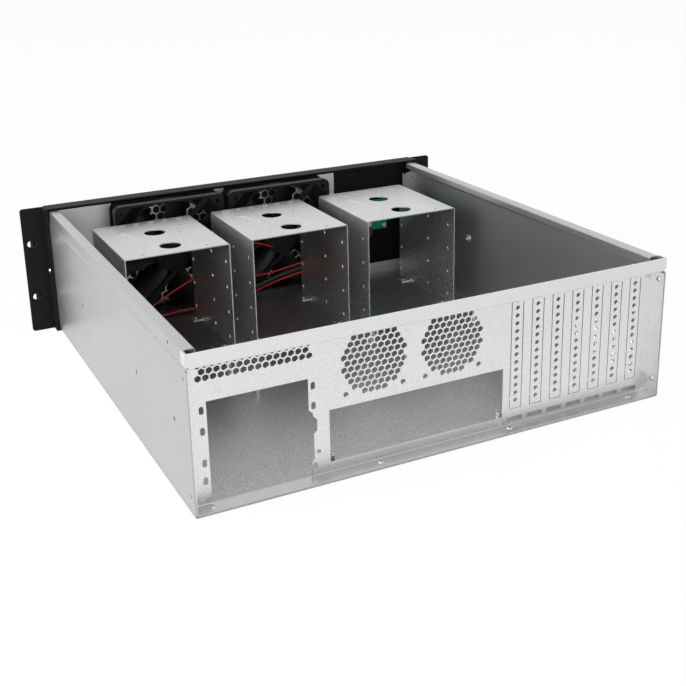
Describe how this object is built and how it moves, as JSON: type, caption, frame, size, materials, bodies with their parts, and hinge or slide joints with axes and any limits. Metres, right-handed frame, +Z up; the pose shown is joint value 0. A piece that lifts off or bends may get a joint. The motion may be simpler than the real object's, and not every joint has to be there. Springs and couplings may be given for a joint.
{
  "type": "rackmount server case",
  "caption": "Empty rackmount server case with open top: folded zinc tray, recessed perforated rear panel, drive cages, fans, black front panel, ears and handles.",
  "frame": {"origin": "centre line of the case, in the rack plane (the rear face of the ears), at the height of the ears' lower edge", "axes": "+X to the left as seen from the rear, +Y from the rack plane to the rear, +Z up; the front faces -Y"},
  "size_m": [0.4826, 0.484, 0.1325],
  "materials": {
    "zinc_steel": "zinc-plated sheet, satin",
    "bright_zinc": "bright zinc-plated sheet",
    "galvanised_steel": "galvanised sheet with spangle",
    "black_paint": "fine-textured black powder coat",
    "black_plastic": "matt moulded plastic",
    "screw_steel": "zinc-plated screws, rivets, nuts and standoffs",
    "board_green": "green solder mask",
    "coppered_steel": "copper-plated rivets",
    "foam": "open-cell black foam",
    "red_lead": "red wire insulation",
    "black_lead": "black braided sleeve",
    "white_plug": "natural nylon plugs",
    "lamp_plastic": "clear plastic lamp"
  },
  "bodies": {
    "case": {"chassis_tray": "zinc_steel", "rear_panel": "bright_zinc", "ledge_rivets": "screw_steel", "wall_rivets": "coppered_steel", "board_standoffs": "screw_steel", "rail_nuts": "screw_steel", "cage_screws": "screw_steel", "fan_bracket": "galvanised_steel", "bracket_rivets": "screw_steel", "fan_screws": "screw_steel", "front_panel": "black_paint", "panel_spacers": "screw_steel", "small_screws": "screw_steel", "ear_rivets": "screw_steel", "handle_screws": "screw_steel", "front_board": "board_green", "usb_sockets": "screw_steel", "tact_switches": "black_plastic", "status_lights": "lamp_plastic", "drive_cage_left": "galvanised_steel", "drive_cage_middle": "galvanised_steel", "drive_cage_right": "galvanised_steel", "fan_frame_left": "black_plastic", "fan_frame_right": "black_plastic", "rack_ear_left": "black_paint", "rack_ear_right": "black_paint", "handle_left": "black_paint", "handle_right": "black_paint", "dust_filter": "foam", "board_header": "white_plug", "front_panel_lead": "black_lead", "front_panel_wire": "red_lead", "front_panel_plug": "white_plug", "fan_lead_left": "red_lead", "fan_lead_right": "red_lead", "fan_plug_left": "white_plug", "fan_plug_right": "white_plug"},
    "left_fan_wheel": {"fan_impeller_left": "black_plastic"},
    "right_fan_wheel": {"fan_impeller_right": "black_plastic"},
    "power_key": {"power_button": "black_plastic"},
    "reset_key": {"reset_button": "black_plastic"}
  },
  "joints": [
    {"name": "left_fan_spin", "type": "hinge", "parent": "case", "child": "left_fan_wheel", "pos_m": [0.0915, 0.0175, 0.069], "axis": [0, 1, 0], "continuous": true},
    {"name": "right_fan_spin", "type": "hinge", "parent": "case", "child": "right_fan_wheel", "pos_m": [-0.0343, 0.0175, 0.069], "axis": [0, 1, 0], "continuous": true},
    {"name": "power_press", "type": "slide", "parent": "case", "child": "power_key", "axis": [0, 1, 0], "range_m": [0, 0.0012], "stiffness_N_per_m": 400},
    {"name": "reset_press", "type": "slide", "parent": "case", "child": "reset_key", "axis": [0, 1, 0], "range_m": [0, 0.0012], "stiffness_N_per_m": 400}
  ]
}
